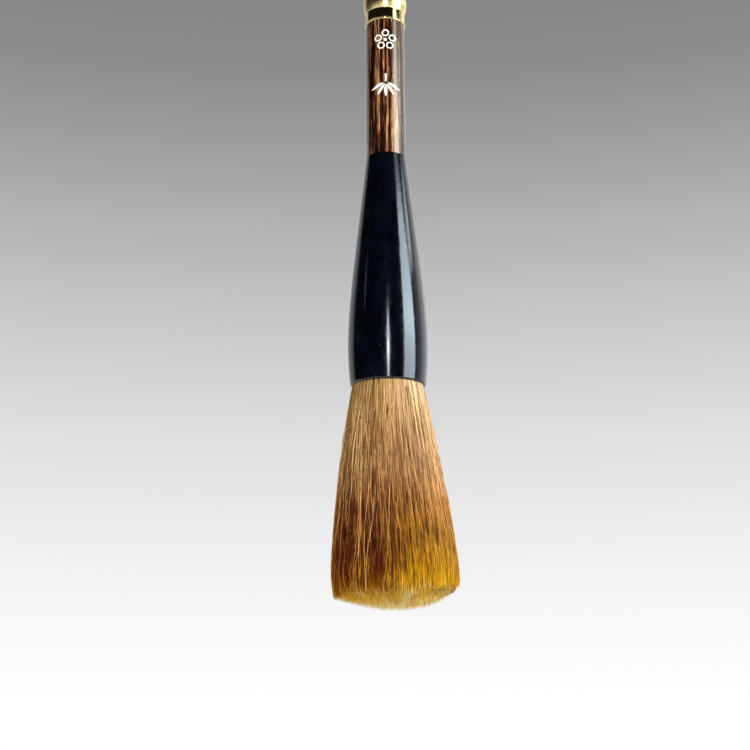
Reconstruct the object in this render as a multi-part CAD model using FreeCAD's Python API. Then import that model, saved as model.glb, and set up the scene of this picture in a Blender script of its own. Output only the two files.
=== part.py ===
"""Large calligraphy brush with a bell-shaped horn ferrule, hanging from its end cap with the tuft down.

Frame: millimetres, +Z up along the brush. The origin is the centre of the cord hole's mouth, on top of the
end cap, so that the whole brush hangs below it. -Y is the front, where the ornament is engraved.

From the top down the brush is a brass end cap, a brass collar ring, a turned wooden rod, a black horn ferrule
and a tuft of hair. The tuft has three layers, as a brush maker sets them: a core, a shorter filler coat that
gives it its belly, and a long cover coat. Its root is wound with thread, sealed with rosin and set in the
ferrule's socket. The tuft bends at two ball-shaped cuts, sideways at the upper one and to the front and back
at the lower one, so each layer is a root, a belly and a tip.
"""

import FreeCAD
import Part

import math
import os

Vector = FreeCAD.Vector
AXIS_Z = Vector(0, 0, 1)
CENTRE = Vector(0, 0, 0)

# ---------------------------------------------------------------- driving dimensions, in mm and degrees
# Rod
ROD_R = 6.0
ROD_LENGTH = 44.4  # what shows between the collar and the ferrule
SPIGOT_R = 4.5  # turned on the rod's upper end, for the collar and the cap
SPIGOT_IN_CAP = 6.0
TENON_R = 4.2  # turned on the rod's lower end, for the ferrule
TENON_LENGTH = 18.0
GLUE_GROOVES = 3
GLUE_GROOVE_WIDTH = 1.2
GLUE_GROOVE_DEPTH = 0.4
END_CHAMFER = 0.5
GLUE_GAP = 0.05  # radial play of every glued spigot, and of each layer of hair

# Collar ring
COLLAR_HEIGHT = 4.0
COLLAR_PROUD = 0.15  # how far its band stands out from the rod
COLLAR_BEAD_R = 0.28  # the rounded bead round its lower edge
COLLAR_EDGE = 0.12  # the broken edge round its top

# End cap
CAP_HEIGHT = 22.0
CAP_STEP_IN = 0.2  # its foot is this much narrower than the collar's band
CAP_SWELL_R = 6.75  # just above the foot, so that the skirt flares over the collar
CAP_NECK_R = 2.3
CAP_NECK_BELOW_TOP = 5.0
CAP_BEAD_R = 3.0
# The skirt's side: shares of its height and of its swell's radius
CAP_SIDE = ((0.17, 1.0), (0.40, 0.95), (0.66, 0.74), (0.84, 0.50))
CAP_RIM = 0.65  # the flat ring round the cord hole's mouth
CORD_HOLE_R = 1.1
KNOT_ROOM_R = 3.6  # the hollow above the spigot, where a hanging cord's knot sits
KNOT_ROOM_HEIGHT = 4.0
KNOT_ROOM_CONE = 3.5

# Ferrule
FERRULE_LENGTH = 71.5
FERRULE_PROUD = 0.08  # its top stands this far out from the rod
FERRULE_BELLY_R = 11.75
FERRULE_MOUTH_R = 11.1
FERRULE_SIDE = ((0.14, 0.20), (0.35, 0.51), (0.63, 0.88), (0.80, 1.0))  # shares of its length and its swell
FERRULE_LIP_ROUND = 0.55
FERRULE_TOP_BREAK = 0.12
TENON_END_ROOM = 0.5
PILOT_HOLE_R = 1.5  # drilled right through, before the socket and the tenon bore
SOCKET_R = 9.9
SOCKET_DEPTH = 24.0
SOCKET_CONE = 3.0
LIP_WALL = 0.65  # at the very mouth, where the socket is flared
LIP_FLARE_DEPTH = 2.0

# Tuft
TUFT_LENGTH = 64.5  # what shows below the ferrule's mouth
TUFT_FLARE_R = 18.1
TUFT_FLARE_DEPTH = 56.0
FLARE_POWER = 1.4  # above 1, the sides curve in towards straight down
TIP_ROUND = 3.2  # the height of the rim's curve, above the end's shallow dome
TIP_SIDE = ((0.97, 0.0), (0.80, 0.62), (0.40, 0.93))  # shares of the radius, and of the way from rim to end
SIDE_STATIONS = 7
LEAN_DEG = 2.2  # the loosened tuft hangs this much towards +X
CORE_SHARE = 0.42  # of the tuft's radius
FILLER_SHARE = 0.70
FILLER_DEPTH = 26.0  # below the mouth
ROOT_SEAL_THICK = 1.5
ROOT_SEAL_INSET = 0.5
THREAD_D = 0.5
THREAD_TURNS = 6
THREAD_ABOVE_MOUTH = 12.0  # the lowest turn

# Where the tuft bends
BELLY_PIVOT_DEPTH = 13.0  # below the mouth
TIP_PIVOT_DEPTH = 37.0
BALL_OVER = 1.5  # each ball-shaped cut is this much larger in radius than the tuft is there
BEND_GAP = 0.3

# Ornament: a blossom over a sprig, cut into the rod and filled
INLAY_DEPTH = 0.25
BLOSSOM_BELOW_COLLAR = 7.2
BLOSSOM_RING_R = 2.3
PETAL_R = 1.15
PETAL_STROKE = 0.38
PETALS = 5
POLLEN_R = 0.5
SPRIG_BELOW_COLLAR = 21.3
LEAF_LENGTH = 4.2
LEAF_WIDTH = 0.9
LEAF_ANGLES = (-62, -31, 0, 31, 62)
LEAF_START = 0.75
LEAF_WIDEST = 0.42  # share of its length
STEM_LENGTH = 2.6
STEM_WIDTH = 0.4
STEM_CUT_WIDTH = 0.65

# ---------------------------------------------------------------- heights worked out from them
COLLAR_TOP = -CAP_HEIGHT
COLLAR_FOOT = COLLAR_TOP - COLLAR_HEIGHT
FERRULE_TOP = COLLAR_FOOT - ROD_LENGTH
MOUTH = FERRULE_TOP - FERRULE_LENGTH
TUFT_END = MOUTH - TUFT_LENGTH
SOCKET_TOP = MOUTH + SOCKET_DEPTH
COLLAR_R = ROD_R + COLLAR_PROUD
MOUTH_BORE_R = FERRULE_MOUTH_R - LIP_WALL
ROOT_R = SOCKET_R - GLUE_GAP
TUFT_MOUTH_R = MOUTH_BORE_R - GLUE_GAP
ROOT_TOP = SOCKET_TOP - ROOT_SEAL_THICK
BELLY_PIVOT = Vector(0, 0, MOUTH - BELLY_PIVOT_DEPTH)
TIP_PIVOT = Vector(0, 0, MOUTH - TIP_PIVOT_DEPTH)


# ---------------------------------------------------------------- shapes used by more than one piece
def at(radius, height):
    """A point of a profile, in the XZ plane."""
    return Vector(radius, 0, height)


def line(a, b):
    return Part.LineSegment(a, b).toShape()


def lines(points):
    return [line(a, b) for a, b in zip(points, points[1:])]


def arc(a, through, b):
    return Part.Arc(a, through, b).toShape()


def curve(points):
    made = Part.BSplineCurve()
    made.interpolate(points)
    return made.toShape()


def turned(edges):
    """A solid turned on the Z axis from the edges of a closed profile."""
    return Part.Face(Part.Wire(edges)).revolve(CENTRE, AXIS_Z, 360)


def cylinder(radius, low, high):
    return Part.makeCylinder(radius, high - low, at(0, low))


def cone(low_radius, high_radius, low, high):
    return Part.makeCone(low_radius, high_radius, high - low, at(0, low))


def ring(outer, inner, low, high):
    return cylinder(outer, low, high).cut(cylinder(inner, low, high))


# ---------------------------------------------------------------- brass
def end_cap():
    """Turned brass: a skirt that flares out and closes to a neck, with a bead on top, bored for the cord."""
    foot_r = COLLAR_R - CAP_STEP_IN
    neck = at(CAP_NECK_R, -CAP_NECK_BELOW_TOP)
    skirt = CAP_HEIGHT - CAP_NECK_BELOW_TOP
    side = [at(wide * CAP_SWELL_R, COLLAR_TOP + high * skirt) for high, wide in CAP_SIDE]
    outside = curve([at(foot_r, COLLAR_TOP)] + side + [neck])
    rim = at(CORD_HOLE_R + CAP_RIM, 0)
    bead = arc(neck, at(CAP_BEAD_R, -CAP_NECK_BELOW_TOP / 2), rim)
    solid = turned([outside, bead, line(rim, CENTRE), line(CENTRE, at(0, COLLAR_TOP)),
                    line(at(0, COLLAR_TOP), at(foot_r, COLLAR_TOP))])
    spigot_top = COLLAR_TOP + SPIGOT_IN_CAP
    room_top = spigot_top + KNOT_ROOM_HEIGHT
    hollows = [
        cylinder(SPIGOT_R + GLUE_GAP, COLLAR_TOP, spigot_top),
        cylinder(KNOT_ROOM_R, spigot_top, room_top),
        cone(KNOT_ROOM_R, CORD_HOLE_R, room_top, room_top + KNOT_ROOM_CONE),
        cylinder(CORD_HOLE_R, room_top, 0),
    ]
    return solid.cut(hollows)


def collar_ring():
    """A brass band pressed on the spigot, with a bead rolled round its lower edge."""
    bore = SPIGOT_R + GLUE_GAP
    bead_top = COLLAR_FOOT + 2 * COLLAR_BEAD_R
    profile = lines([
        at(bore, COLLAR_FOOT),
        at(bore, COLLAR_TOP),
        at(COLLAR_R - COLLAR_EDGE, COLLAR_TOP),
        at(COLLAR_R, COLLAR_TOP - COLLAR_EDGE),
        at(COLLAR_R, bead_top + COLLAR_EDGE),
        at(COLLAR_R - COLLAR_EDGE, bead_top),
    ])
    bead_in = COLLAR_R - COLLAR_EDGE
    profile.append(arc(at(bead_in, bead_top), at(bead_in + COLLAR_BEAD_R, COLLAR_FOOT + COLLAR_BEAD_R),
                       at(bead_in, COLLAR_FOOT)))
    profile.append(line(at(bead_in, COLLAR_FOOT), at(bore, COLLAR_FOOT)))
    return turned(profile)


# ---------------------------------------------------------------- rod and its filled engraving
def flat_cut(edges, x, z, turn_deg=0):
    """A flat shape drawn round the origin, turned, set at x, z and run through the rod's front."""
    face = Part.Face(Part.Wire(edges))
    face.rotate(CENTRE, Vector(0, 1, 0), turn_deg)
    face.translate(Vector(x, -2 * ROD_R, z))
    return face.extrude(Vector(0, 2 * ROD_R, 0))


def disc(radius, x, z):
    circle = Part.Circle(CENTRE, Vector(0, 1, 0), radius).toShape()
    return flat_cut([circle], x, z)


def leaf(x, z, turn_deg):
    """A slender leaf that points down from x, z."""
    top = at(0, -LEAF_START)
    tip = at(0, -LEAF_START - LEAF_LENGTH)
    middle = -LEAF_START - LEAF_WIDEST * LEAF_LENGTH
    sides = [arc(top, at(LEAF_WIDTH / 2, middle), tip), arc(tip, at(-LEAF_WIDTH / 2, middle), top)]
    return flat_cut(sides, x, z, turn_deg)


def stem(x, z):
    """A short stalk above the leaves, with a flared cut end."""
    half = STEM_WIDTH / 2
    cut = STEM_CUT_WIDTH / 2
    corners = [at(-half, 0), at(half, 0), at(cut, STEM_LENGTH), at(-cut, STEM_LENGTH), at(-half, 0)]
    return flat_cut(lines(corners), x, z)


def blossom(z):
    petals = []
    for i in range(PETALS):
        turn = math.radians(90 + 360 * i / PETALS)
        x = BLOSSOM_RING_R * math.cos(turn)
        up = BLOSSOM_RING_R * math.sin(turn)
        petals.append(disc(PETAL_R, x, z + up).cut(disc(PETAL_R - PETAL_STROKE, x, z + up)))
    return petals + [disc(POLLEN_R, 0, z)]


def sprig(z):
    return [leaf(0, z, angle) for angle in LEAF_ANGLES] + [stem(0, z)]


def inlay(strokes):
    """White filler, flush with the rod: one solid for each stroke."""
    skin = ring(ROD_R, ROD_R - INLAY_DEPTH, FERRULE_TOP, COLLAR_FOOT)
    return Part.makeCompound([stroke.common(skin).Solids[0] for stroke in strokes])


def handle_rod(inlays):
    """Turned wood: a spigot above, a tenon with glue grooves below, and the engraving's cuts."""
    spigot_top = COLLAR_TOP + SPIGOT_IN_CAP
    tenon_foot = FERRULE_TOP - TENON_LENGTH
    rod = cylinder(ROD_R, FERRULE_TOP, COLLAR_FOOT)
    rod = rod.fuse([
        cylinder(SPIGOT_R, COLLAR_FOOT, spigot_top - END_CHAMFER),
        cone(SPIGOT_R, SPIGOT_R - END_CHAMFER, spigot_top - END_CHAMFER, spigot_top),
        cylinder(TENON_R, tenon_foot + END_CHAMFER, FERRULE_TOP),
        cone(TENON_R - END_CHAMFER, TENON_R, tenon_foot, tenon_foot + END_CHAMFER),
    ]).removeSplitter()
    pitch = TENON_LENGTH / (GLUE_GROOVES + 1)
    for i in range(GLUE_GROOVES):
        groove = FERRULE_TOP - (i + 1) * pitch
        rod = rod.cut(ring(ROD_R, TENON_R - GLUE_GROOVE_DEPTH, groove, groove + GLUE_GROOVE_WIDTH))
    return rod.cut([solid for i in inlays for solid in i.Solids])


# ---------------------------------------------------------------- ferrule
def ferrule():
    """Turned horn: a long straight-sided bell with its belly near the mouth, bored from both ends."""
    top_r = ROD_R + FERRULE_PROUD
    swell = FERRULE_BELLY_R - top_r
    break_foot = FERRULE_TOP - FERRULE_TOP_BREAK
    lip_top = MOUTH + FERRULE_LIP_ROUND
    side = [at(top_r + wide * swell, FERRULE_TOP - down * FERRULE_LENGTH) for down, wide in FERRULE_SIDE]
    outside = curve([at(top_r, break_foot)] + side + [at(FERRULE_MOUTH_R, lip_top)])
    round_in = FERRULE_MOUTH_R - FERRULE_LIP_ROUND
    slant = FERRULE_LIP_ROUND * math.sqrt(0.5)
    lip = arc(at(FERRULE_MOUTH_R, lip_top), at(round_in + slant, lip_top - slant), at(round_in, MOUTH))
    top_edge = at(top_r - FERRULE_TOP_BREAK, FERRULE_TOP)
    solid = turned([outside, lip] + lines([
        at(round_in, MOUTH),
        at(0, MOUTH),
        at(0, FERRULE_TOP),
        top_edge,
        at(top_r, break_foot),
    ]))
    bore_foot = FERRULE_TOP - TENON_LENGTH - TENON_END_ROOM
    hollows = [
        cylinder(TENON_R + GLUE_GAP, bore_foot, FERRULE_TOP),
        cylinder(PILOT_HOLE_R, MOUTH, FERRULE_TOP),
        cylinder(SOCKET_R, MOUTH, SOCKET_TOP),
        cone(SOCKET_R, PILOT_HOLE_R, SOCKET_TOP, SOCKET_TOP + SOCKET_CONE),
        cone(MOUTH_BORE_R, SOCKET_R, MOUTH, MOUTH + LIP_FLARE_DEPTH),
    ]
    return solid.cut(hollows)


def rosin_bed():
    """The rosin poured into the socket's cone before the tuft is pressed in."""
    return cone(SOCKET_R - GLUE_GAP, PILOT_HOLE_R, SOCKET_TOP, SOCKET_TOP + SOCKET_CONE - GLUE_GAP)


# ---------------------------------------------------------------- tuft
def tuft_radius(depth):
    """The tuft's outer radius at a depth below the mouth, down to its widest place."""
    share = 1 - (1 - depth / TUFT_FLARE_DEPTH) ** FLARE_POWER
    return TUFT_MOUTH_R + (TUFT_FLARE_R - TUFT_MOUTH_R) * share


def tuft_side(share, play):
    """One side of the tuft's profile, from the root's top to the widest place, at a share of its radius."""
    flare = [TUFT_FLARE_DEPTH * i / SIDE_STATIONS for i in range(SIDE_STATIONS + 1)]
    side = curve([at(share * tuft_radius(d) + play, MOUTH - d) for d in flare])
    root_r = share * ROOT_R + play
    return lines([
        at(0, ROOT_TOP),
        at(root_r, ROOT_TOP),
        at(root_r, MOUTH + LIP_FLARE_DEPTH),
        at(share * TUFT_MOUTH_R + play, MOUTH),
    ]) + [side]


def whole_tuft():
    """All the hair as one solid: a flaring brush with a rounded rim and a shallow dome at its end."""
    rim = MOUTH - TUFT_FLARE_DEPTH - TIP_ROUND
    end = curve([at(TUFT_FLARE_R, MOUTH - TUFT_FLARE_DEPTH)]
                + [at(wide * TUFT_FLARE_R, rim + way * (TUFT_END - rim)) for wide, way in TIP_SIDE]
                + [at(0, TUFT_END)])
    return turned(tuft_side(1, 0) + [end, line(at(0, TUFT_END), at(0, ROOT_TOP))])


def inner_part(share, play):
    """The middle of the tuft, out to a share of its radius and down past its end."""
    wide = share * TUFT_FLARE_R + play
    low = TUFT_END - TIP_ROUND
    return turned(tuft_side(share, play) + lines([
        at(wide, MOUTH - TUFT_FLARE_DEPTH),
        at(wide, low),
        at(0, low),
        at(0, ROOT_TOP),
    ]))


def box_below(height):
    """All the space that the tuft can fill below a height."""
    reach = 2 * TUFT_LENGTH
    return Part.makeBox(2 * reach, 2 * reach, reach, Vector(-reach, -reach, height - reach))


def cut_up(solid):
    """Root, belly and tip of a layer. The belly and the tip each start as a ball in the cup above."""
    pieces = []
    rest = solid
    for pivot, depth in ((BELLY_PIVOT, BELLY_PIVOT_DEPTH), (TIP_PIVOT, TIP_PIVOT_DEPTH)):
        ball_r = tuft_radius(depth) + BALL_OVER
        below = box_below(pivot.z)
        pieces.append(rest.cut([Part.makeSphere(ball_r + BEND_GAP, pivot), below]))
        rest = rest.common(Part.makeSphere(ball_r, pivot).fuse(below))
    return pieces + [rest]


def leaned(solid):
    """The free tuft turned about the upper bend, where its ball and cup still fit."""
    made = solid.copy()
    made.rotate(BELLY_PIVOT, Vector(0, 1, 0), -LEAN_DEG)
    return made


def thread_winding():
    """The thread that binds the root, as a close helix, and the groove that it pulls into the hair."""
    low = MOUTH + THREAD_ABOVE_MOUTH
    pitch = THREAD_D + GLUE_GAP
    path_r = ROOT_R - THREAD_D / 2
    helix = Part.makeHelix(pitch, pitch * THREAD_TURNS, path_r)
    helix.translate(at(0, low))
    section = Part.Wire([Part.Circle(at(path_r, low), Vector(0, 1, 0), THREAD_D / 2).toShape()])
    thread = Part.Wire(helix.Edges).makePipeShell([section], True, True)
    margin = THREAD_D / 2 + GLUE_GAP
    groove = ring(SOCKET_R, ROOT_R - THREAD_D - GLUE_GAP, low - margin, low + pitch * THREAD_TURNS + margin)
    return thread, groove


def tuft():
    """Every piece of the tuft, by node name."""
    thread, groove = thread_winding()
    whole = whole_tuft()
    below_filler = box_below(MOUTH - FILLER_DEPTH)
    core_room = inner_part(CORE_SHARE, GLUE_GAP)
    filler_room = inner_part(FILLER_SHARE, GLUE_GAP).cut(below_filler)
    layers = {
        "core_hair": whole.common(inner_part(CORE_SHARE, -GLUE_GAP)),
        "filler_hair": inner_part(FILLER_SHARE, -GLUE_GAP).cut([core_room, below_filler]),
        "cover_hair": whole.cut([core_room, filler_room, groove]),
    }
    made = {}
    for name, layer in layers.items():
        root, belly, tip = cut_up(layer)
        made[name + "_root"] = root
        made[name + "_belly"] = leaned(belly)
        made[name + "_tip"] = leaned(tip)
    made["binding_thread"] = thread
    made["root_seal"] = cylinder(ROOT_R - ROOT_SEAL_INSET, ROOT_TOP, SOCKET_TOP)
    return made


# ---------------------------------------------------------------- build and write
def build():
    blossom_inlay = inlay(blossom(COLLAR_FOOT - BLOSSOM_BELOW_COLLAR))
    sprig_inlay = inlay(sprig(COLLAR_FOOT - SPRIG_BELOW_COLLAR))
    made = {
        "end_cap": end_cap(),
        "collar_ring": collar_ring(),
        "handle_rod": handle_rod([blossom_inlay, sprig_inlay]),
        "blossom_inlay": blossom_inlay,
        "sprig_inlay": sprig_inlay,
        "ferrule": ferrule(),
        "rosin_bed": rosin_bed(),
    }
    made.update(tuft())
    return made


def write(made):
    os.makedirs("parts", exist_ok=True)
    for name, shape in made.items():
        shape.exportStep(os.path.join("parts", name + ".step"))
        print(name, "solids", len(shape.Solids), "valid", shape.isValid(), "volume", round(shape.Volume, 1))


write(build())
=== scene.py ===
import math

import bpy
import numpy as np
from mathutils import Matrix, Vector


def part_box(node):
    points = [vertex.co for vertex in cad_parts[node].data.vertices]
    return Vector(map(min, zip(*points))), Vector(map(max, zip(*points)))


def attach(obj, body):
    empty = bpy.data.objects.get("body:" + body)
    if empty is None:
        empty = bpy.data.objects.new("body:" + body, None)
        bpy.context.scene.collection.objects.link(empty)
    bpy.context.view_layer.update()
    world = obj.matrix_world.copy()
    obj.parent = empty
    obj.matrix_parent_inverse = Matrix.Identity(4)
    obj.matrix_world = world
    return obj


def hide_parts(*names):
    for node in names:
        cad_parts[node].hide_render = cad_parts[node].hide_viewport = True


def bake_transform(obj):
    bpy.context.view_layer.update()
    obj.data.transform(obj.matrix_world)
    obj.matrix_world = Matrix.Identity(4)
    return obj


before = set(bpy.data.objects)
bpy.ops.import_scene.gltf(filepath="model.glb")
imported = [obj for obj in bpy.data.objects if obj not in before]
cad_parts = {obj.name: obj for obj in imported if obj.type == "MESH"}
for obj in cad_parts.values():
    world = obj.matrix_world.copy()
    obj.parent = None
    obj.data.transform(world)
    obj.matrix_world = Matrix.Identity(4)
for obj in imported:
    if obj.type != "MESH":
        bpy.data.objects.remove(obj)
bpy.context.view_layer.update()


# ------------------------------------------------------------------------------------------------
# Rod. A straight rod of wenge, turned between centres, sanded fine along the grain and rubbed with
# wax. Its upper spigot is glued into the collar and the cap and its lower tenon into the ferrule.
# ------------------------------------------------------------------------------------------------
def linear(text, alpha=1.0):
    """An sRGB hex colour as the linear values that shaders use."""
    parts = [int(text[i:i + 2], 16) / 255 for i in (1, 3, 5)]
    return tuple(c / 12.92 if c <= 0.04045 else ((c + 0.055) / 1.055) ** 2.4 for c in parts) + (alpha,)


def add(tree, kind, inputs=None, **settings):
    """Adds a node, sets its properties, and gives each input a value or another node's output."""
    made = tree.nodes.new(kind)
    for name, value in settings.items():
        setattr(made, name, value)
    for key, value in (inputs or {}).items():
        if isinstance(value, bpy.types.NodeSocket):
            tree.links.new(value, made.inputs[key])
        else:
            made.inputs[key].default_value = value
    return made


def stops(ramp, marks):
    """Sets a colour ramp's stops from (place, hex colour) pairs."""
    elements = ramp.color_ramp.elements
    while len(elements) < len(marks):
        elements.new(0.5)
    for element, (place, colour) in zip(elements, marks):
        element.position = place
        element.color = linear(colour)
    return ramp.outputs["Color"]


def new_material(name):
    """An empty material, its tree and its Principled shader."""
    made = bpy.data.materials.new(name)
    made.use_nodes = True
    return made, made.node_tree, made.node_tree.nodes["Principled BSDF"]


def finish_node(name, made):
    """Gives a carried-over node its finish."""
    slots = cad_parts[name].data.materials
    slots.clear()
    slots.append(made)


MM = 0.001  # lengths are in metres
STREAK_WIDTH = 0.42 * MM  # the bands of light and dark fibre in quarter-sawn wenge
STREAK_LENGTH = 13 * MM
VESSEL_WIDTH = 0.26 * MM  # open pores, drawn at about twice their real width so that they show
VESSEL_LENGTH = 4.5 * MM

# Waxed wenge: near-black and red-brown bands with tan ones between, under a low clear gloss.
wenge, tree, shader = new_material("wenge_turned_and_waxed")
place = add(tree, "ShaderNodeTexCoord").outputs["Object"]
along_fibre = add(tree, "ShaderNodeVectorMath",
                  {0: place, 1: (1 / STREAK_WIDTH, 1 / STREAK_WIDTH, 1 / STREAK_LENGTH)},
                  operation="MULTIPLY").outputs["Vector"]
bands = add(tree, "ShaderNodeTexNoise",
            {"Vector": along_fibre, "Scale": 0.5, "Detail": 6.0, "Roughness": 0.78, "Distortion": 0.3})
band_colour = stops(add(tree, "ShaderNodeValToRGB", {"Fac": bands.outputs["Fac"]}), [
    (0.38, "#080202"), (0.475, "#200905"), (0.525, "#50200f"), (0.56, "#7c4a27"),
    (0.61, "#cca26c"), (0.66, "#8e5c32"), (0.71, "#441a0b"), (0.80, "#120502")])
along_vessel = add(tree, "ShaderNodeVectorMath",
                   {0: place, 1: (1 / VESSEL_WIDTH, 1 / VESSEL_WIDTH, 1 / VESSEL_LENGTH)},
                   operation="MULTIPLY").outputs["Vector"]
vessels = add(tree, "ShaderNodeTexNoise",
              {"Vector": along_vessel, "Scale": 0.9, "Detail": 2.0, "Roughness": 0.5})
vessel_shade = add(tree, "ShaderNodeMapRange",
                   {"Value": vessels.outputs["Fac"], "From Min": 0.40, "From Max": 0.56, "To Min": 0.15,
                    "To Max": 1.05})
wood_colour = add(tree, "ShaderNodeMix", {0: 1.0, 6: band_colour, 7: vessel_shade.outputs["Result"]},
                  data_type="RGBA", blend_type="MULTIPLY").outputs[2]
wood_gloss = add(tree, "ShaderNodeMapRange",
                 {"Value": vessels.outputs["Fac"], "From Min": 0.3, "From Max": 0.7, "To Min": 0.24,
                  "To Max": 0.12})
pores = add(tree, "ShaderNodeBump",
            {"Strength": 0.35, "Distance": 0.06 * MM, "Height": vessels.outputs["Fac"]})
tree.links.new(wood_colour, shader.inputs["Base Color"])
tree.links.new(wood_gloss.outputs["Result"], shader.inputs["Roughness"])
tree.links.new(pores.outputs["Normal"], shader.inputs["Normal"])
shader.inputs["IOR"].default_value = 1.52
shader.inputs["Specular IOR Level"].default_value = 1.0
shader.inputs["Specular Tint"].default_value = linear("#ffe3c6")
finish_node("handle_rod", wenge)


# ------------------------------------------------------------------------------------------------
# Inlaid ornament. A blossom over a leafy sprig, engraved a quarter of a millimetre into the rod's
# front, filled with white paste and rubbed down flush when it has set.
# ------------------------------------------------------------------------------------------------
GRIT = 0.12 * MM  # chalk grains in the paste
WORN_PATCH = 1.4 * MM

# Chalk-filled paste: a chalky white, a little uneven and greyer where it wore low.
paste, tree, shader = new_material("white_paste_rubbed_flush")
place = add(tree, "ShaderNodeTexCoord").outputs["Object"]
grains = add(tree, "ShaderNodeTexNoise", {"Vector": place, "Scale": 1 / GRIT, "Detail": 2.0})
wear = add(tree, "ShaderNodeTexNoise", {"Vector": place, "Scale": 1 / WORN_PATCH, "Detail": 3.0})
worn = stops(add(tree, "ShaderNodeValToRGB", {"Fac": wear.outputs["Fac"]}), [
    (0.30, "#cfc8bd"), (0.48, "#efece6"), (0.70, "#f7f5f1")])
tree.links.new(worn, shader.inputs["Base Color"])
chalk = add(tree, "ShaderNodeBump",
            {"Strength": 0.25, "Distance": 0.02 * MM, "Height": grains.outputs["Fac"]})
tree.links.new(chalk.outputs["Normal"], shader.inputs["Normal"])
shader.inputs["Roughness"].default_value = 0.62
shader.inputs["IOR"].default_value = 1.5
finish_node("blossom_inlay", paste)
finish_node("sprig_inlay", paste)


# ------------------------------------------------------------------------------------------------
# Collar ring and end cap. Both are turned from brass bar, the ring polished and the cap brushed. The
# ring is pressed on the rod's spigot, with a thin bead round its lower edge. The cap is glued above it.
# ------------------------------------------------------------------------------------------------
LATHE_LINE = 0.16 * MM  # spacing of the polishing lines, drawn coarser than the real 0.05 mm
TARNISH_PATCH = 2.6 * MM

for node, name, dull in (("collar_ring", "brass_turned_and_polished", 0.0),
                         ("end_cap", "brass_turned_and_brushed", 0.22)):
    # Brass: a pale yellow mirror on the ring and softer on the cap, with faint rings and a brown bloom.
    brass, tree, shader = new_material(name)
    place = add(tree, "ShaderNodeTexCoord").outputs["Object"]
    bloom = add(tree, "ShaderNodeTexNoise", {"Vector": place, "Scale": 1 / TARNISH_PATCH, "Detail": 5.0,
                                             "Roughness": 0.6})
    brass_colour = stops(add(tree, "ShaderNodeValToRGB", {"Fac": bloom.outputs["Fac"]}), [
        (0.25, "#c2a262"), (0.50, "#e3ce92"), (0.80, "#eddda8")])
    height = add(tree, "ShaderNodeSeparateXYZ", {0: place}).outputs["Z"]
    round_lines = add(tree, "ShaderNodeCombineXYZ", {"Z": height})
    turning = add(tree, "ShaderNodeTexNoise",
                  {"Vector": round_lines.outputs["Vector"], "Scale": 1 / LATHE_LINE, "Detail": 2.0})
    brass_gloss = add(tree, "ShaderNodeMapRange",
                      {"Value": bloom.outputs["Fac"], "From Min": 0.3, "From Max": 0.75,
                       "To Min": 0.11 + dull, "To Max": 0.06 + dull})
    lines = add(tree, "ShaderNodeBump",
                {"Strength": 0.10, "Distance": 0.01 * MM, "Height": turning.outputs["Fac"]})
    tree.links.new(brass_colour, shader.inputs["Base Color"])
    tree.links.new(brass_gloss.outputs["Result"], shader.inputs["Roughness"])
    tree.links.new(lines.outputs["Normal"], shader.inputs["Normal"])
    shader.inputs["Metallic"].default_value = 1.0
    finish_node(node, brass)


# ------------------------------------------------------------------------------------------------
# Ferrule. A long bell turned from black buffalo horn and polished with oil. It is bored from both
# ends, for the rod's tenon and for the root of the tuft, and its mouth has a rounded lip.
# ------------------------------------------------------------------------------------------------
TURNING_RING = 0.55 * MM  # the faint rings left by the scraper
DUST_CELL = 4.2 * MM  # one speck of dust lies somewhere in each cell
HORN_CLOUD = 7 * MM
HANDLED_PATCH = 2.2 * MM  # where fingers have dulled or polished the oil

# Polished horn: a deep blue-black with a hard wet gloss, faint rings and a few specks of dust.
horn, tree, shader = new_material("black_horn_turned_and_oiled")
place = add(tree, "ShaderNodeTexCoord").outputs["Object"]
clouds = add(tree, "ShaderNodeTexNoise",
             {"Vector": place, "Scale": 1 / HORN_CLOUD, "Detail": 4.0, "Roughness": 0.6})
horn_colour = stops(add(tree, "ShaderNodeValToRGB", {"Fac": clouds.outputs["Fac"]}), [
    (0.30, "#010103"), (0.55, "#03060e"), (0.80, "#070d18")])
cells = add(tree, "ShaderNodeTexVoronoi", {"Vector": place, "Scale": 1 / DUST_CELL, "Randomness": 1.0})
speck = add(tree, "ShaderNodeMapRange",
            {"Value": cells.outputs["Distance"], "From Min": 0.018, "From Max": 0.034, "To Min": 0.55,
             "To Max": 0.0})
dusted = add(tree, "ShaderNodeMix", {0: speck.outputs["Result"], 6: horn_colour, 7: linear("#8d8a80")},
             data_type="RGBA").outputs[2]
height = add(tree, "ShaderNodeSeparateXYZ", {0: place}).outputs["Z"]
scraped = add(tree, "ShaderNodeTexNoise",
              {"Vector": add(tree, "ShaderNodeCombineXYZ", {"Z": height}).outputs[0],
               "Scale": 1 / TURNING_RING, "Detail": 3.0, "Roughness": 0.55})
handled = add(tree, "ShaderNodeTexNoise", {"Vector": place, "Scale": 1 / HANDLED_PATCH, "Detail": 5.0})
horn_gloss = add(tree, "ShaderNodeMapRange",
                 {"Value": handled.outputs["Fac"], "From Min": 0.3, "From Max": 0.8, "To Min": 0.09,
                  "To Max": 0.20})
rings = add(tree, "ShaderNodeBump",
            {"Strength": 0.22, "Distance": 0.014 * MM, "Height": scraped.outputs["Fac"]})
tree.links.new(dusted, shader.inputs["Base Color"])
tree.links.new(horn_gloss.outputs["Result"], shader.inputs["Roughness"])
tree.links.new(rings.outputs["Normal"], shader.inputs["Normal"])
shader.inputs["IOR"].default_value = 1.54
finish_node("ferrule", horn)


# ------------------------------------------------------------------------------------------------
# Rosin bed and root seal. Melted rosin is poured into the cone above the ferrule's socket, and the
# root of the tuft, brushed with lacquer at its top, is pressed into it while it is warm.
# ------------------------------------------------------------------------------------------------
BUBBLE = 0.8 * MM
RESIN_CLOUD = 2.0 * MM

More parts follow.
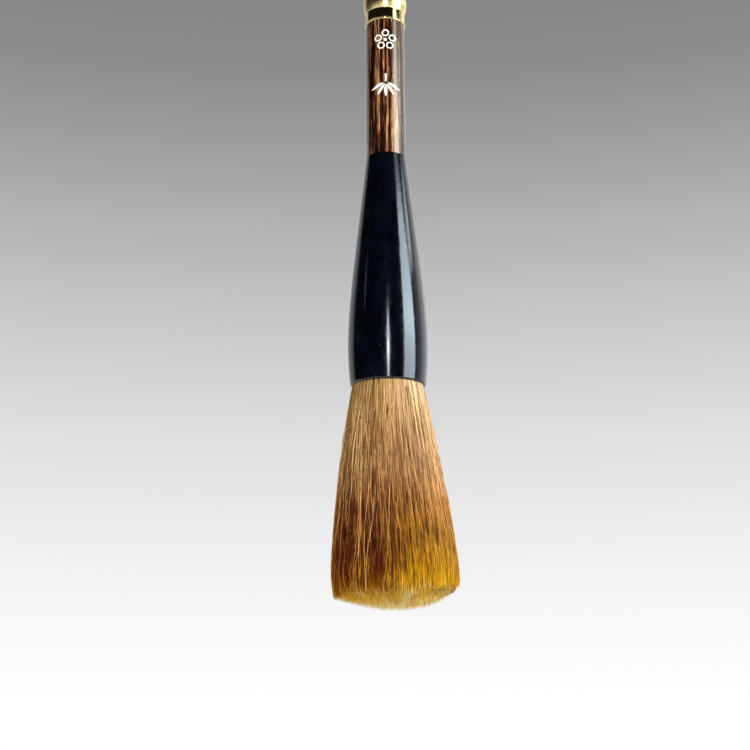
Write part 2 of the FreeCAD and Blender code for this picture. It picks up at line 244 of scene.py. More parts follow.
for node, name, dark, light, gloss in (
        ("rosin_bed", "rosin_poured_and_set", "#5a2a08", "#a8641c", 0.22),
        ("root_seal", "lacquer_brushed_on", "#2a0d05", "#5c2210", 0.35)):
    # Resin: a clouded amber for the bed and a darker brown for the brushed seal, both finely pitted.
    resin, tree, shader = new_material(name)
    place = add(tree, "ShaderNodeTexCoord").outputs["Object"]
    cloud = add(tree, "ShaderNodeTexNoise", {"Vector": place, "Scale": 1 / RESIN_CLOUD, "Detail": 4.0})
    tint = stops(add(tree, "ShaderNodeValToRGB", {"Fac": cloud.outputs["Fac"]}),
                 [(0.35, dark), (0.70, light)])
    bubbles = add(tree, "ShaderNodeTexVoronoi", {"Vector": place, "Scale": 1 / BUBBLE})
    pits = add(tree, "ShaderNodeBump",
               {"Strength": 0.3, "Distance": 0.05 * MM, "Height": bubbles.outputs["Distance"]})
    tree.links.new(tint, shader.inputs["Base Color"])
    tree.links.new(pits.outputs["Normal"], shader.inputs["Normal"])
    shader.inputs["Roughness"].default_value = gloss
    shader.inputs["IOR"].default_value = 1.53
    finish_node(node, resin)


# ------------------------------------------------------------------------------------------------
# Binding thread. Six close turns of waxed linen thread that hold the hair's root together while
# the glue sets. It stays inside the ferrule's socket.
# ------------------------------------------------------------------------------------------------
TWIST = 0.35 * MM  # one ply; the bands are drawn about twice as wide so that they show

# Waxed linen: an off-white twisted cord with darker furrows between its plies.
linen, tree, shader = new_material("linen_thread_twisted_and_waxed")
place = add(tree, "ShaderNodeTexCoord").outputs["Object"]
plies = add(tree, "ShaderNodeTexWave",
            {"Vector": place, "Scale": 0.16 / TWIST, "Distortion": 1.5, "Detail": 2.0},
            bands_direction="DIAGONAL")
ply_colour = stops(add(tree, "ShaderNodeValToRGB", {"Fac": plies.outputs["Fac"]}), [
    (0.15, "#8c7a58"), (0.60, "#cdbf9c")])
furrows = add(tree, "ShaderNodeBump",
              {"Strength": 0.5, "Distance": 0.05 * MM, "Height": plies.outputs["Fac"]})
tree.links.new(ply_colour, shader.inputs["Base Color"])
tree.links.new(furrows.outputs["Normal"], shader.inputs["Normal"])
shader.inputs["Roughness"].default_value = 0.7
finish_node("binding_thread", linen)


# ------------------------------------------------------------------------------------------------
# Tuft, inner hair. A core and a shorter filler coat of dyed weasel hair, packed so close that they
# read as one mass. They show only in the gaps of the outer coat and, as fine points, underneath.
# Their colours are darkened to 0.4 as painted shade, the shade deep between the hairs.
# ------------------------------------------------------------------------------------------------
MOUTH_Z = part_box("ferrule")[0].z
MOUTH_R = 10.4 * MM  # the hair's radius where it leaves the ferrule
FLARE_R = 18.1 * MM  # its widest place
FLARE_DEPTH = 56 * MM
TUFT_LENGTH = 64.5 * MM
FLARE_POWER = 1.4
ROOT_TAPER = 0.25  # how fast the root narrows inside the ferrule
ROUNDING = 0.015  # how far the outline has drawn in again at ROUNDING_DEPTH below its widest place
ROUNDING_DEPTH = 5 * MM
LEAN = math.tan(math.radians(2.2))  # the loosened hair hangs a little to the right
LEAN_ZONE = 26 * MM
SEAM = 25 * MM  # between the two places where the tuft bends
BEND_END = 49 * MM
BELLY_BEND = ("handle", "tuft_belly")
TIP_BEND = ("tuft_belly", "tuft_tip")
BELLY_SPAN = (1 * MM, SEAM)  # the hair's depths between two bodies
TIP_SPAN = (SEAM, BEND_END)


def tuft_radius(depth):
    """The tuft's outer radius at a depth below the ferrule's mouth."""
    inside = np.minimum(depth, 0) * ROOT_TAPER
    share = 1 - (1 - np.clip(depth / FLARE_DEPTH, 0, 1)) ** FLARE_POWER
    rounding = 1 - ROUNDING * (np.clip(depth - FLARE_DEPTH, 0, None) / ROUNDING_DEPTH) ** 2
    return (MOUTH_R + (FLARE_R - MOUTH_R) * share) * rounding + inside


def tuft_point(turn, depth, share):
    """Points of the tuft. turn is in radians from the front, towards the right."""
    radius = share * tuft_radius(depth)
    down = np.clip(depth, 0, None)
    lean = LEAN * np.where(down < LEAN_ZONE, down ** 2 / (2 * LEAN_ZONE), down - LEAN_ZONE / 2)
    return np.stack([radius * np.sin(turn) + lean, -radius * np.cos(turn), MOUTH_Z - depth], axis=-1)


def hair_map(turn, depth):
    """Where a point of the tuft is on the hair's map: round the tuft, and along the hair."""
    side_margin = 0.002
    end_margin = 0.02
    around = np.clip(turn / (2 * math.pi) + 0.5, side_margin, 1 - side_margin)
    along = np.clip(depth / TUFT_LENGTH, 0, 1) * (1 - 2 * end_margin) + end_margin
    return np.stack([around, along], axis=-1)


def hair_object(name, points, faces, mapped, finish):
    """A smooth mesh piece with its hair map, which the finish reads and which also serves for textures."""
    mesh = bpy.data.meshes.new(name)
    corners = faces.astype(np.int32).ravel()
    starts = np.arange(0, len(corners), faces.shape[1], dtype=np.int32)
    mesh.vertices.add(len(points))
    mesh.vertices.foreach_set("co", points.astype(np.float32).ravel())
    mesh.loops.add(len(corners))
    mesh.loops.foreach_set("vertex_index", corners)
    mesh.polygons.add(len(faces))
    mesh.polygons.foreach_set("loop_start", starts)
    mesh.polygons.foreach_set("loop_total", np.full(len(faces), faces.shape[1], np.int32))
    mesh.polygons.foreach_set("use_smooth", np.ones(len(faces), bool))
    mesh.update(calc_edges=True)
    for layer in ("hair_map", "OFBake"):
        mesh.uv_layers.new(name=layer).data.foreach_set("uv", mapped[corners].astype(np.float32).ravel())
    mesh.materials.append(finish)
    made = bpy.data.objects.new(name, mesh)
    bpy.context.scene.collection.objects.link(made)
    return made


HAIR_WIDTH = 0.17 * MM  # two or three real hairs lying together, which is the finest that shows
LOCK_WIDTH = 0.9 * MM  # hairs that cling side by side
ROUND_TUFT = 14 * MM  # the radius at which the map's circle has its real size
HAIR_LENGTHS = {"hair": 8.5, "lock": 3.5}  # how often the pattern changes from root to tip
QUICKENING = 2.2  # the pattern changes faster towards the tip, where the hair is finest
RAGGED = 0.11  # how far the bands of colour shift from lock to lock, as a share of the hair
GAP_SHADE_WARMTH = (1.6, 1.0, 0.6)  # painted shade: the gaps between brown hairs are painted dark and reddish
CLOSED_GAP_SHADE = 0.75  # what the painted gap shade becomes in the golden zone
LIT_SIDE = 1.65  # the side of each hair that catches the light


def hair_finish(name, brown_marks, gold_and_lit_marks, pale_and_highlight_marks, gloss, shade, gap_shade_darkest=0.10, massed=False):
    """Straight weasel hair: pale at the root, brown in the belly and dyed golden at the tip.
    gloss is the roughness; shade multiplies the colours, as painted shade below 1 and painted light above
    it;
    gap_shade_darkest is the painted shade in the gaps between hairs. A massed coat takes its pattern from
    the place in the tuft, so that its end shows as dots of single hairs."""
    made, tree, shader = new_material(name)
    map_node = add(tree, "ShaderNodeUVMap", uv_map="hair_map")
    split = add(tree, "ShaderNodeSeparateXYZ", {0: map_node.outputs["UV"]})
    turn = add(tree, "ShaderNodeMath", {0: split.outputs["X"], 1: 2 * math.pi},
               operation="MULTIPLY").outputs[0]
    across = add(tree, "ShaderNodeMath", {0: turn}, operation="COSINE").outputs[0]
    side = add(tree, "ShaderNodeMath", {0: turn}, operation="SINE").outputs[0]
    quicker = add(tree, "ShaderNodeMath", {0: split.outputs["Y"], 1: QUICKENING},
                  operation="POWER").outputs[0]
    object_place = add(tree, "ShaderNodeSeparateXYZ",
                       {0: add(tree, "ShaderNodeTexCoord").outputs["Object"]})
    patterns = {}
    for what, width in (("hair", HAIR_WIDTH), ("lock", LOCK_WIDTH)):
        scale = 1 / width if massed else ROUND_TUFT / width
        first, second = (object_place.outputs["X"], object_place.outputs["Y"]) if massed else (across, side)
        ring = add(tree, "ShaderNodeCombineXYZ", {
            "X": add(tree, "ShaderNodeMath", {0: first, 1: scale}, operation="MULTIPLY").outputs[0],
            "Y": add(tree, "ShaderNodeMath", {0: second, 1: scale}, operation="MULTIPLY").outputs[0],
            "Z": add(tree, "ShaderNodeMath", {0: quicker, 1: HAIR_LENGTHS[what]},
                     operation="MULTIPLY").outputs[0]})
        patterns[what] = add(tree, "ShaderNodeTexNoise",
                             {"Vector": ring.outputs[0], "Scale": 1.0, "Detail": 2.0,
                              "Roughness": 0.6}).outputs["Fac"]
    # The place along the hair, shifted for each lock so that the bands of colour have ragged edges.
    shift = add(tree, "ShaderNodeMapRange", {"Value": patterns["lock"], "From Min": 0.25, "From Max": 0.75,
                                             "To Min": -RAGGED, "To Max": RAGGED}).outputs["Result"]
    along = add(tree, "ShaderNodeMath", {0: split.outputs["Y"], 1: shift}, operation="ADD").outputs[0]
    brown = stops(add(tree, "ShaderNodeValToRGB", {"Fac": along}), brown_marks)
    gold_and_lit = stops(add(tree, "ShaderNodeValToRGB", {"Fac": along}), gold_and_lit_marks)
    # The right of the tuft, towards the window, is more golden and lighter than its left, partly the
    # hair's own colour and partly painted light, and the locks mix where the two meet.
    rightness = add(tree, "ShaderNodeMath", {0: side, 1: -0.5}, operation="MULTIPLY").outputs[0]
    mixed_side = add(tree, "ShaderNodeMath", {0: rightness, 1: patterns["lock"]},
                     operation="ADD").outputs[0]
    golden_and_lit_side = add(tree, "ShaderNodeMapRange",
                      {"Value": mixed_side, "From Min": 0.45, "From Max": 0.70}).outputs["Result"]
    both = add(tree, "ShaderNodeMix", {0: golden_and_lit_side, 6: brown, 7: gold_and_lit}, data_type="RGBA").outputs[2]
    # Painted shade: warm dark gaps between the hairs, which close up in the golden zone where the hair is
    # finest, and a painted lit side on each hair.
    gap_shade_closing = add(tree, "ShaderNodeMapRange",
                  {"Value": along, "From Min": 0.72, "From Max": 0.90}).outputs["Result"]
    open_gap_shade = tuple(gap_shade_darkest * shade * c for c in GAP_SHADE_WARMTH) + (1.0,)
    closed_gap_shade = (CLOSED_GAP_SHADE * shade,) * 3 + (1.0,)
    gap_shade = add(tree, "ShaderNodeMix", {0: gap_shade_closing, 6: open_gap_shade, 7: closed_gap_shade}, data_type="RGBA").outputs[2]
    # Each hair is painted between its gap shade and its painted lit side.
    lit_share = add(tree, "ShaderNodeMapRange", {"Value": patterns["hair"], "From Min": 0.35,
                                                "From Max": 0.66}).outputs["Result"]
    painted_light_and_gaps = add(tree, "ShaderNodeMix", {0: lit_share, 6: gap_shade, 7: (LIT_SIDE * shade,) * 3 + (1.0,)},
                 data_type="RGBA").outputs[2]
    coloured = add(tree, "ShaderNodeMix", {0: 1.0, 6: both, 7: painted_light_and_gaps}, data_type="RGBA",
                   blend_type="MULTIPLY").outputs[2]
    # Paler hairs and painted highlights: the brightest hairs are mixed toward the pale colours.
    pale_and_highlight_share = add(tree, "ShaderNodeMapRange",
                     {"Value": patterns["hair"], "From Min": 0.56, "From Max": 0.70,
                      "To Max": 0.50}).outputs["Result"]
    pale_and_highlight = stops(add(tree, "ShaderNodeValToRGB", {"Fac": along}), pale_and_highlight_marks)
    coloured = add(tree, "ShaderNodeMix", {0: pale_and_highlight_share, 6: coloured, 7: pale_and_highlight},
                   data_type="RGBA").outputs[2]
    tree.links.new(coloured, shader.inputs["Base Color"])
    sheen = add(tree, "ShaderNodeMapRange", {"Value": patterns["hair"], "From Min": 0.3, "From Max": 0.7,
                                             "To Min": gloss + 0.12, "To Max": gloss - 0.08})
    tree.links.new(sheen.outputs["Result"], shader.inputs["Roughness"])
    shader.inputs["IOR"].default_value = 1.55
    shader.inputs["Specular IOR Level"].default_value = 0.16
    return made


BROWN_MARKS = [(0.02, "#b08c54"), (0.16, "#a27c42"), (0.32, "#99713e"), (0.43, "#8d6335"),
               (0.52, "#703c16"), (0.62, "#5e2604"), (0.74, "#521c00"), (0.86, "#602600"),
               (0.92, "#a05e02"), (0.96, "#d89c28"), (0.99, "#e8c26c")]
# The right side's colours: golden hair, partly painted light, lighter than the brown left.
GOLD_AND_LIT_MARKS = [(0.02, "#d6b88e"), (0.16, "#c8a270"), (0.32, "#b89060"), (0.43, "#ac8252"), (0.52, "#a47032"),
              (0.62, "#9a6a1a"), (0.74, "#9c6c08"), (0.84, "#b88604"), (0.905, "#d8a808"),
              (0.96, "#e8bc40"), (0.99, "#f0d288")]
# Colours of paler hairs and of painted highlights on the coat's brightest hairs.
PALE_AND_HIGHLIGHT_MARKS = [(0.25, "#e0bf8e"), (0.45, "#d4aa76"), (0.60, "#c69046"), (0.80, "#b87a18"),
                (0.93, "#e2b024")]
INNER_SHARE = 0.94  # the mass's radius over the tuft's
INNER_SHOULDER = 58.5 * MM  # where its end starts to round over
INNER_END = 61.5 * MM
ROUND_STEPS = 144
RIDGE = 0.006  # how uneven it is round about
CROWN = 0.004  # the middle of its end isn't drawn to a single point
# Painted shade: the mass takes the hair's colours at 0.4, as the shade deep between the hairs.
packed = hair_finish("weasel_hair_packed_painted_shade", BROWN_MARKS, GOLD_AND_LIT_MARKS, BROWN_MARKS, 0.6, 0.4, massed=True)
rng = np.random.default_rng(20)
ridge = rng.normal(0, 1, ROUND_STEPS)
ridge = (ridge + np.roll(ridge, 1)) * RIDGE

for name, depths, bodies, span, nodes in (
        ("inner_hair_upper", np.linspace(-1.5 * MM, SEAM, 15), BELLY_BEND, BELLY_SPAN,
         ("core_hair_belly", "filler_hair_belly")),
        ("inner_hair_lower", np.linspace(SEAM, INNER_SHOULDER, 18), TIP_BEND, TIP_SPAN,
         ("core_hair_tip", "filler_hair_tip"))):
    turns = np.linspace(-math.pi, math.pi, ROUND_STEPS + 1)
    shares = np.full(len(depths), INNER_SHARE)
    if name.endswith("lower"):  # the mass rounds over to a shallow dome, just inside the fine ends
        dome = np.linspace(0, math.pi / 2, 9)[1:]
        depths = np.concatenate([depths, depths[-1] + (INNER_END - depths[-1]) * np.sin(dome)])
        shares = np.concatenate([shares, INNER_SHARE * np.clip(np.cos(dome), CROWN, 1) ** 0.6])
    d, t = np.meshgrid(depths, turns, indexing="ij")
    s = shares[:, None] * (1 + np.concatenate([ridge, ridge[:1]]))[None, :]
    points = tuft_point(t, d, s).reshape(-1, 3)
    mapped = hair_map(t, d).reshape(-1, 2)
    rows, columns = len(depths), ROUND_STEPS + 1
    grid = np.arange(rows * columns).reshape(rows, columns)
    quads = np.stack([grid[:-1, :-1], grid[1:, :-1], grid[1:, 1:], grid[:-1, 1:]], axis=-1).reshape(-1, 4)
    piece = hair_object(name, points, quads, mapped, packed)
    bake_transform(piece)
    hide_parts(*nodes)
for name in ("core_hair_root", "filler_hair_root"):
    finish_node(name, packed)


# ------------------------------------------------------------------------------------------------
# Tuft, cover hair. The long outer coat, laid evenly round the core by hand, so each hair runs the
# whole way from the root to the tip. It is modelled hair by hair, in halves that meet at the seam.
# ------------------------------------------------------------------------------------------------
COVER_HAIRS = 2500
ROOT_THICK = 0.17 * MM
TIP_THICK = 0.03 * MM
COAT_END = 60.6 * MM
RIGHT_RISE = 3.4 * MM
LOCKS = 84
SIDE_ON_MAP = 0.0005  # keeps the three sides of a hair apart on the map


def strand_mesh(name, turn, depth, share, thick, finish, tone):
    """Three-sided tapering hairs: one row for each hair, one column for each place along it. tone turns a
    hair's place on the map, so that neighbours differ in colour."""
    centre = tuft_point(turn, depth, share)
    outward = np.stack([np.sin(turn), -np.cos(turn), np.zeros_like(turn)], axis=-1)
    sideways = np.stack([np.cos(turn), np.sin(turn), np.zeros_like(turn)], axis=-1)
    hairs, places = turn.shape
    points = np.empty((hairs, places, 3, 3))
    mapped = np.empty((hairs, places, 3, 2))
    for k in range(3):
        angle = 2 * math.pi * k / 3
        points[:, :, k] = centre + thick[...,
                                         None] * (math.cos(angle) * outward + math.sin(angle) * sideways)
        mapped[:, :, k] = hair_map(turn + tone, depth)
        mapped[:, :, k, 0] += SIDE_ON_MAP * math.sin(angle)
    index = np.arange(hairs * places * 3).reshape(hairs, places, 3)
    quads = []
    for k in range(3):
        n = (k + 1) % 3
        quads.append(np.stack([index[:, :-1, k], index[:, 1:, k], index[:, 1:, n], index[:, :-1, n]],
                              axis=-1))
    quads = np.concatenate([q.reshape(-1, 4) for q in quads])
    return hair_object(name, points.reshape(-1, 3), quads, mapped.reshape(-1, 2), finish)


outer = hair_finish("weasel_hair_combed_straight", BROWN_MARKS, GOLD_AND_LIT_MARKS, PALE_AND_HIGHLIGHT_MARKS, 0.42, 1.0)
rng = np.random.default_rng(7)
root_turn = np.sort(rng.uniform(-math.pi, math.pi, COVER_HAIRS))[:, None]
lock_of = np.round((root_turn + math.pi) / (2 * math.pi) * LOCKS)
lock_turn = lock_of / LOCKS * 2 * math.pi - math.pi + rng.normal(0, 0.012, LOCKS + 1)[lock_of.astype(int)]
off_lock = (root_turn - lock_turn) * LOCKS / math.pi
# A lock stands highest in its middle.
lift = rng.uniform(0.962, 1.0, root_turn.shape) - 0.012 * np.clip(off_lock, -1, 1) ** 2
bow = rng.normal(0, 0.30 * MM, root_turn.shape)
stray = rng.normal(0, 1.0 * MM, root_turn.shape)
cling = rng.uniform(0.1, 0.5, root_turn.shape)
full = rng.uniform(0.75, 1.15, root_turn.shape)
# Most hairs end close together, and a few end well short. The right side ends higher than the left.
trim = rng.normal(0.3 * MM, 0.6 * MM, root_turn.shape) - rng.exponential(0.9 * MM, root_turn.shape)
tone = rng.normal(0, 0.10, root_turn.shape)
end_depth = COAT_END - RIGHT_RISE * np.clip(np.sin(root_turn), 0, 1) ** 1.5 + np.clip(trim, -9 * MM,
                                                                                      1.0 * MM)


def cover_paths(depth):
    """Where each cover hair is at each depth, and how thick it is there."""
    way = np.clip(depth / TUFT_LENGTH, 0, 1)
    sway = bow * np.sin(math.pi * way) + stray * way ** 2
    turn = root_turn + sway / tuft_radius(depth) + cling * way ** 2 * (lock_turn - root_turn)
    thick = full * (ROOT_THICK + (TIP_THICK - ROOT_THICK) * np.clip((depth / end_depth - 0.7) / 0.3, 0,
                                                                    1) ** 2)
    return turn, depth, lift, thick


UPPER_STEPS = np.array([-3, 1.5, 7, 13, 19, 25]) * MM
LOWER_STEPS = np.array([0, 0.16, 0.32, 0.48, 0.64, 0.78, 0.88, 0.95, 1.0])
upper_depth = np.repeat(UPPER_STEPS[None, :], COVER_HAIRS, axis=0)
lower_depth = SEAM + (end_depth - SEAM) * LOWER_STEPS[None, :]
cover_upper = strand_mesh("cover_hair_upper", *cover_paths(upper_depth), outer, tone)
cover_lower = strand_mesh("cover_hair_lower", *cover_paths(lower_depth), outer, tone)
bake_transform(cover_upper)
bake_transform(cover_lower)
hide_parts("cover_hair_root", "cover_hair_belly")
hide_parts("cover_hair_tip")


# ------------------------------------------------------------------------------------------------
# Tuft, hair ends. The tips of all the layers, levelled by hand into a shallow dome. The real hairs
# aren't cut: each keeps its own fine point, so the end of the tuft is soft.
# ------------------------------------------------------------------------------------------------
END_HAIRS = 7000
END_THICK = 0.11 * MM
DOME_EDGE = 60.4 * MM
DOME_RISE = 4.0 * MM
DOME_RIGHT_RISE = 3.0 * MM
TIP_MARKS = [(0.78, "#a4640c"), (0.87, "#c08a06"), (0.93, "#d4aa10"), (0.96, "#dcc03c"), (0.985, "#f4eec8")]
# Painted light: the tips' colours are raised 1.22 times for the dome's underside, with little painted gap
# shade.
lit_tip_finish = hair_finish("weasel_hair_fine_tips", TIP_MARKS, TIP_MARKS, TIP_MARKS, 0.45, 1.22, 0.7)
rng = np.random.default_rng(31)
end_turn = rng.uniform(-math.pi, math.pi, (END_HAIRS, 1))
end_share = np.sqrt(rng.uniform(0, 0.975, (END_HAIRS, 1)))
dome_depth = DOME_EDGE + DOME_RISE * (1 - end_share ** 2) ** 0.8
dome_depth -= DOME_RIGHT_RISE * np.clip(np.sin(end_turn), 0, 1) ** 1.5 * end_share ** 4
dome_depth += np.clip(rng.normal(-0.3 * MM, 0.5 * MM, (END_HAIRS, 1)), -3 * MM, 0.4 * MM)
start_depth = dome_depth - rng.uniform(9 * MM, 12 * MM, (END_HAIRS, 1))
along_end = np.linspace(0, 1, 5)[None, :]
depth = start_depth + (dome_depth - start_depth) * along_end
sway = rng.normal(0, 0.035, (END_HAIRS, 1)) * along_end ** 2
thick = rng.uniform(0.6, 1.1, (END_HAIRS, 1)) * END_THICK * np.array([1.0, 1.0, 0.8, 0.5, 0.15])[None, :]
hair_ends = strand_mesh("hair_ends", end_turn + sway, depth, end_share + 0 * depth, thick, lit_tip_finish,
                        rng.normal(0, 0.08, (END_HAIRS, 1)))
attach(hair_ends, "tuft_tip")


# ------------------------------------------------------------------------------------------------
# Tuft, loose hairs. Paler long hairs that have worked out of the coat and lie over it at small angles,
# many short fine ones that cross it, and one that has slipped round the left side below the ferrule.
# ------------------------------------------------------------------------------------------------
PALE_MARKS = [(0.02, "#ecd6ac"), (0.30, "#e2c292"), (0.60, "#dcae68"), (0.85, "#e6b852"), (0.97, "#f2e2b8")]
loose_finish = hair_finish("weasel_hair_loose_and_pale", PALE_MARKS, PALE_MARKS, PALE_MARKS, 0.34, 1.05,
                           0.5)
SHORT_MARKS = [(0.02, "#e0c494"), (0.30, "#d4ae78"), (0.45, "#cca26c"), (0.58, "#b07c40"),
               (0.75, "#a4681e"), (0.92, "#d2a424")]
short_finish = hair_finish("weasel_hair_short_and_fine", SHORT_MARKS, SHORT_MARKS, SHORT_MARKS, 0.38, 1.0,
                           0.3)
LOOSE = {"name": "loose_hair", "seed": 5, "count": 130, "finish": loose_finish, "thick": 0.09 * MM,
         "mixed": 0.0, "starts": (-1 * MM, 38 * MM), "lengths": (10 * MM, 34 * MM), "lean": 1.5 * MM,
         "bow": 0.9 * MM, "wave": 0.28 * MM}
SHORT = {"name": "short_hair", "seed": 12, "count": 800, "finish": short_finish, "thick": 0.06 * MM,
         "mixed": 0.3, "starts": (2 * MM, 52 * MM), "lengths": (4 * MM, 12 * MM), "lean": 1.0 * MM,
         "bow": 0.3 * MM, "wave": 0.08 * MM}
LAST_DEPTH = 61.5 * MM
PLACES = 9  # along each hair
STRAY_TURNS = (math.radians(-14), math.radians(-92))  # it lies round the left side
STRAY_DEPTHS = (12.2 * MM, 16.5 * MM)
STRAY_THICK = 0.12 * MM
along_stray = np.linspace(0, 1, PLACES)[None, :]
stray_hair = (STRAY_TURNS[0] + (STRAY_TURNS[1] - STRAY_TURNS[0]) * along_stray,
              STRAY_DEPTHS[0] + (STRAY_DEPTHS[1] - STRAY_DEPTHS[0]) * along_stray ** 2,
              1.02 + 0.04 * np.sin(math.pi * along_stray),
              STRAY_THICK * (1 - 0.4 * along_stray))

for kind in (LOOSE, SHORT):
    rng = np.random.default_rng(kind["seed"])
    each = (kind["count"], 1)
    base_turn = rng.uniform(-math.pi, math.pi, each)
    start = rng.uniform(*kind["starts"], each)
    end = np.minimum(start + rng.uniform(*kind["lengths"], each), LAST_DEPTH - rng.uniform(0, 5 * MM, each))
    drift = rng.normal(0, kind["lean"], each)
    bow = rng.normal(0, kind["bow"], each)
    lift = rng.uniform(0, 0.035, each) * (end - start) / kind["lengths"][1]
    full = rng.uniform(0.6, 1.0, each)
    wave = rng.normal(0, kind["wave"], each)
    tone = rng.normal(0, kind["mixed"], each)
    for half, chosen, first, last, bodies, span in (
            ("upper", start < SEAM - 1 * MM, start, np.minimum(end, SEAM), BELLY_BEND, BELLY_SPAN),
            ("lower", end > SEAM + 1 * MM, np.maximum(start, SEAM), end, TIP_BEND, TIP_SPAN)):
        depth = first + (last - first) * np.linspace(0, 1, PLACES)[None, :]
        way = np.clip((depth - start) / (end - start), 0, 1)
        sway = drift * way ** 1.5 + bow * np.sin(math.pi * way) + wave * np.sin(2.6 * math.pi * way)
        turn = base_turn + sway / tuft_radius(depth)
        share = 0.995 + 0.012 * np.sin(math.pi * way) + lift * way ** 2
        thick = full * kind["thick"] * np.clip(1.15 - way, 0.12, 1) ** 0.5
        turn, depth, share, thick, shade_of = (v[chosen[:, 0]] for v in (turn, depth, share, thick, tone))
        if kind is LOOSE and half == "upper":
            turn, depth, share, thick = (np.concatenate([v, extra]) for v, extra in
                                         zip((turn, depth, share, thick), stray_hair))
            shade_of = np.concatenate([shade_of, [[0.0]]])
        piece = strand_mesh(kind["name"] + "_" + half, turn, depth, share, thick, kind["finish"], shade_of)
        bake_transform(piece)


# ------------------------------------------------------------------------------------------------
# Studio. The brush hangs in front of a pale sweep that falls off to grey towards the top. One tall
# window stands to its right, a narrow lamp near the camera, and the room in front is dark.
# ------------------------------------------------------------------------------------------------
MIDDLE_Z = -0.115  # about half way down the brush
REACH = 4.0
FLOOR_Z = -0.46
LAMP_DISTANCE = 0.8
PAPER_TOOTH = 3 * MM
floor_mesh = bpy.data.meshes.new("studio_floor")
floor_mesh.from_pydata([(-REACH, -REACH, FLOOR_Z), (REACH, -REACH, FLOOR_Z),
                        (REACH, REACH, FLOOR_Z), (-REACH, REACH, FLOOR_Z)], [], [(0, 1, 2, 3)])
floor = bpy.data.objects.new("studio_floor", floor_mesh)
bpy.context.scene.collection.objects.link(floor)
# Matt paper: grey, with a barely visible tooth, and glowing near white.
paper, tree, shader = new_material("matt_studio_paper")
tooth = add(tree, "ShaderNodeTexNoise", {"Vector": add(tree, "ShaderNodeTexCoord").outputs["Object"],
                                         "Scale": 1 / PAPER_TOOTH, "Detail": 3.0})
tree.links.new(stops(add(tree, "ShaderNodeValToRGB", {"Fac": tooth.outputs["Fac"]}),
                     [(0.3, "#5c5c5c"), (0.7, "#646464")]), shader.inputs["Base Color"])
shader.inputs["Roughness"].default_value = 0.9
shader.inputs["Emission Color"].default_value = linear("#f0f0f0")
# Its glow grows towards its edges, where it meets the white of the sweep.
from_middle = add(tree, "ShaderNodeVectorMath", {0: add(tree, "ShaderNodeTexCoord").outputs["Object"]},
                  operation="LENGTH").outputs["Value"]
lit = add(tree, "ShaderNodeMapRange", {"Value": from_middle, "From Min": 0.5, "From Max": 3.6,
                                       "To Min": 0.95, "To Max": 1.2})
tree.links.new(lit.outputs["Result"], shader.inputs["Emission Strength"])
floor_mesh.materials.append(paper)


def direction(azimuth, elevation):
    """Unit direction from the brush. Azimuth 0 is the camera's side and 90 is the right."""
    a, e = math.radians(azimuth), math.radians(elevation)
    return np.array([math.sin(a) * math.cos(e), -math.cos(a) * math.cos(e), math.sin(e)])


def glowing_panel(name, corners, distance, colour, strength, levels):
    """A lit panel that only reflections see. levels are its brightness from its foot to its top."""
    panel_mesh = bpy.data.meshes.new(name)
    points = [direction(a, e) * distance + np.array([0, 0, MIDDLE_Z]) for a, e in corners]
    foot, top = min(p[2] for p in points), max(p[2] for p in points)
    panel_mesh.from_pydata([tuple(p) for p in points], [], [tuple(range(len(points)))])
    glow = bpy.data.materials.new(name + "_glow")
    glow.use_nodes = True
    tree = glow.node_tree
    tree.nodes.clear()
    height = add(tree, "ShaderNodeSeparateXYZ", {0: add(tree, "ShaderNodeTexCoord").outputs["Object"]})
    share = add(tree, "ShaderNodeMapRange",
                {"Value": height.outputs["Z"], "From Min": foot, "From Max": top})
    level = add(tree, "ShaderNodeValToRGB", {"Fac": share.outputs["Result"]})
    level.color_ramp.interpolation = "EASE"
    elements = level.color_ramp.elements
    while len(elements) < len(levels):
        elements.new(0.5)
    for element, (where, amount) in zip(elements, levels):
        element.position = where
        element.color = (amount, amount, amount, 1)
    power = add(tree, "ShaderNodeMath", {0: level.outputs["Color"], 1: strength}, operation="MULTIPLY")
    light = add(tree, "ShaderNodeEmission", {"Color": linear(colour), "Strength": power.outputs[0]})
    add(tree, "ShaderNodeOutputMaterial", {"Surface": light.outputs[0]})
    panel_mesh.materials.append(glow)
    panel = bpy.data.objects.new(name, panel_mesh)
    bpy.context.scene.collection.objects.link(panel)
    panel.visible_camera = False
    panel.visible_diffuse = False


glowing_panel("tall_window", [(46, -14), (86, -14), (82, 28), (48, 43)], 0.75, "#e2f5ff", 13.0,
              [(0.0, 0.42), (0.40, 0.68), (0.60, 1.0), (0.76, 0.74), (0.847, 0.66), (0.855, 0.075),
               (1.0, 0.065)])
glowing_panel("window_return", [(84, 27), (100, 27), (100, 34), (84, 34)], 0.75, "#eaf6ff", 5.4,
              [(0.0, 1.0), (0.86, 1.0), (0.90, 0.2)])
glowing_panel("back_wall", [(112, -14), (160, -14), (160, 45), (112, 45)], 0.75, "#f2f5f7", 1.4,
              [(0.0, 1.0), (1.0, 1.0)])
glowing_panel("narrow_lamp", [(-2.4, -8), (3.4, -8), (3.4, 26), (-2.4, 26)], 0.62, "#f0f7ff", 30.0,
              [(0.0, 0.1), (0.30, 0.50), (0.52, 1.0), (0.74, 0.45), (0.98, 0.0)])
glowing_panel("door_gap", [(-76, 22), (-74, 22), (-74, 29), (-76, 29)], 0.75, "#ffffff", 2.4,
              [(0.0, 0.0), (0.5, 1.0), (1.0, 0.0)])

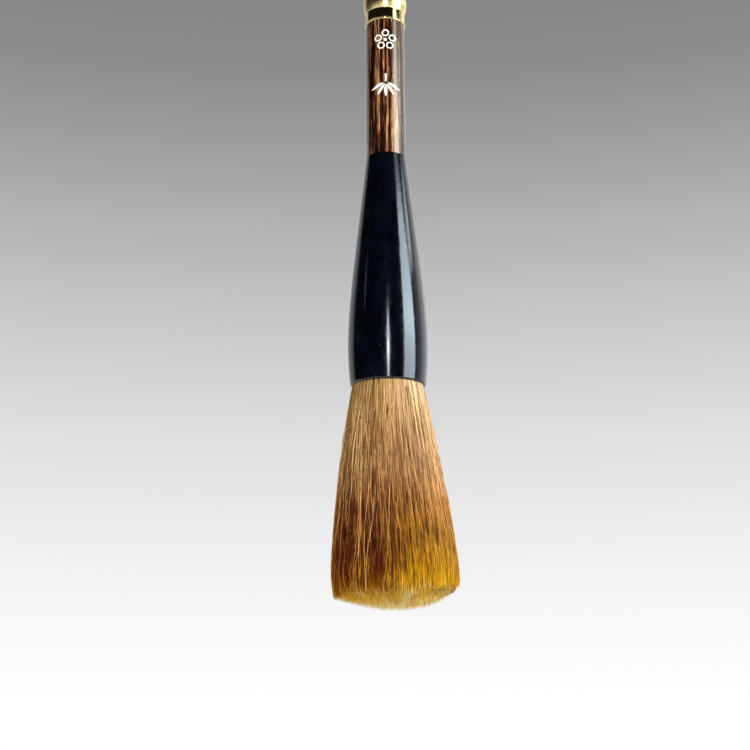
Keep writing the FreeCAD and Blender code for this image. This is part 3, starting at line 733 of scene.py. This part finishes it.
for name, azimuth, elevation, size, power in (
        ("left_fill", -25, 16, 0.45, 3.4),
        ("right_fill", 46, 20, 0.30, 13.5)):
    lamp = bpy.data.lights.new(name, "AREA")
    lamp.size = size
    lamp.energy = power
    lamp_object = bpy.data.objects.new(name, lamp)
    bpy.context.scene.collection.objects.link(lamp_object)
    from_brush = direction(azimuth, elevation)
    lamp_object.location = from_brush * LAMP_DISTANCE + np.array([0, 0, MIDDLE_Z])
    lamp_object.rotation_euler = Vector(from_brush).to_track_quat("Z", "Y").to_euler()
    lamp_object.visible_glossy = False
    lamp_object.visible_camera = False

world = bpy.data.worlds.new("studio_room")
bpy.context.scene.world = world
world.use_nodes = True
tree = world.node_tree
tree.nodes.clear()
split = add(tree, "ShaderNodeSeparateXYZ", {0: add(tree, "ShaderNodeTexCoord").outputs["Generated"]})
# The pale sweep behind the brush, which only the camera sees.
sweep = stops(add(tree, "ShaderNodeValToRGB", {"Fac": split.outputs["Z"]}), [
    (0.0, "#ffffff"), (0.073, "#f6f6f6"), (0.186, "#e1e1e1"), (0.297, "#c3c3c3"), (0.404, "#9e9e9e"),
    (0.454, "#8e8e8e"), (0.50, "#868686")])
# The room is dark in front of the brush and lit behind it, a little more to its right.
rightward = add(tree, "ShaderNodeMath", {0: split.outputs["X"], 1: 0.22}, operation="MULTIPLY").outputs[0]
behind = add(tree, "ShaderNodeMath", {0: rightward, 1: split.outputs["Y"]}, operation="ADD").outputs[0]
lit_side = add(tree, "ShaderNodeMapRange",
               {"Value": behind, "From Min": 0.16, "From Max": 0.40, "To Min": 0.012, "To Max": 0.75},
               interpolation_type="SMOOTHSTEP").outputs["Result"]
room = add(tree, "ShaderNodeBackground", {"Color": linear("#e9ebee"), "Strength": lit_side})
seen = add(tree, "ShaderNodeBackground", {"Color": sweep, "Strength": 1.0})
shown = add(tree, "ShaderNodeMixShader", {0: add(tree, "ShaderNodeLightPath").outputs["Is Camera Ray"],
                                          1: room.outputs[0], 2: seen.outputs[0]})
add(tree, "ShaderNodeOutputWorld", {"Surface": shown.outputs[0]})
bpy.context.scene.view_settings.view_transform = "Standard"

# The camera is a little below the hair's end and looks up along the brush.
lens = bpy.data.cameras.new("camera")
lens.lens = 62.4
lens.sensor_width = 36.0
camera = bpy.data.objects.new("camera", lens)
bpy.context.scene.collection.objects.link(camera)
camera.location = (-0.0044, -0.370, MOUTH_Z - 0.0887)
camera.rotation_euler = (math.radians(90 + 14), math.radians(0.35), 0)
bpy.context.scene.camera = camera
